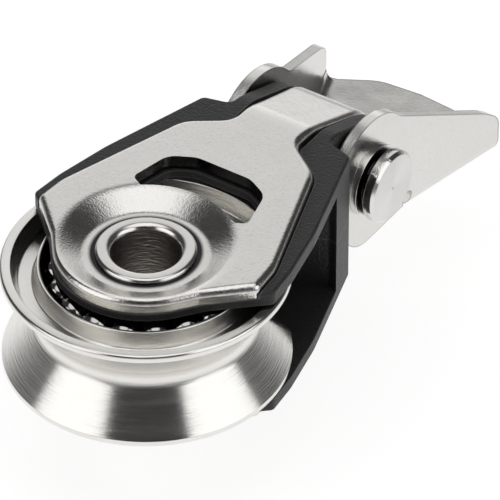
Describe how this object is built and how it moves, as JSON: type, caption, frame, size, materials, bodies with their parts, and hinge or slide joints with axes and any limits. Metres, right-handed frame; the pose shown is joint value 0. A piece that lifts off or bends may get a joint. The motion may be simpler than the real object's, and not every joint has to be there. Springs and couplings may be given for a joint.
{
  "type": "cheek block",
  "caption": "Ball-bearing line block: grooved metal sheave in black moulded cheeks under a polished strap, with a hinged stamped deck bracket on its head pin.",
  "frame": {"origin": "on the sheave axis, half-way between the two cheeks", "axes": "+Z along the sheave axis out of the upper cheek, +Y from the sheave to the head pin, +X along the head pin towards its round head"},
  "size_m": [0.03, 0.0677, 0.018],
  "materials": {
    "polished_steel": "polished",
    "black_moulding": "fine grained, matt",
    "turned_metal": "fine turned",
    "race": "smooth",
    "bright_pin": "mirror",
    "balls": "mirror"
  },
  "bodies": {
    "block": {"strap": "polished_steel", "cheek_upper": "black_moulding", "cheek_lower": "black_moulding", "axle_tube": "polished_steel", "inner_race": "race", "head_bush": "black_moulding"},
    "sheave": {"sheave": "turned_metal"},
    "balls_upper": {"ball_upper_01": "balls", "ball_upper_02": "balls", "ball_upper_03": "balls", "ball_upper_04": "balls", "ball_upper_05": "balls", "ball_upper_06": "balls", "ball_upper_07": "balls", "ball_upper_08": "balls", "ball_upper_09": "balls", "ball_upper_10": "balls", "ball_upper_11": "balls", "ball_upper_12": "balls", "ball_upper_13": "balls", "ball_upper_14": "balls", "ball_upper_15": "balls", "ball_upper_16": "balls", "ball_upper_17": "balls", "ball_upper_18": "balls"},
    "balls_lower": {"ball_lower_01": "balls", "ball_lower_02": "balls", "ball_lower_03": "balls", "ball_lower_04": "balls", "ball_lower_05": "balls", "ball_lower_06": "balls", "ball_lower_07": "balls", "ball_lower_08": "balls", "ball_lower_09": "balls", "ball_lower_10": "balls", "ball_lower_11": "balls", "ball_lower_12": "balls", "ball_lower_13": "balls", "ball_lower_14": "balls", "ball_lower_15": "balls", "ball_lower_16": "balls", "ball_lower_17": "balls", "ball_lower_18": "balls"},
    "bracket": {"bracket": "polished_steel", "head_pin": "bright_pin", "pin_clip": "bright_pin"}
  },
  "joints": [
    {"name": "sheave_spin", "type": "hinge", "parent": "block", "child": "sheave", "pos_m": [0, 0, 0], "axis": [0, 0, 1], "continuous": true},
    {"name": "balls_upper_roll", "type": "hinge", "parent": "block", "child": "balls_upper", "pos_m": [0, 0, 0], "axis": [0, 0, 1], "continuous": true},
    {"name": "balls_lower_roll", "type": "hinge", "parent": "block", "child": "balls_lower", "pos_m": [0, 0, 0], "axis": [0, 0, 1], "continuous": true},
    {"name": "bracket_swing", "type": "hinge", "parent": "block", "child": "bracket", "pos_m": [0, 0.0306, 0], "axis": [1, 0, 0], "range_deg": [-25, 100]}
  ],
  "couplings": [
    {"joint": "balls_upper_roll", "follows": "sheave_spin", "ratio": 0.5863},
    {"joint": "balls_lower_roll", "follows": "sheave_spin", "ratio": 0.5863}
  ]
}
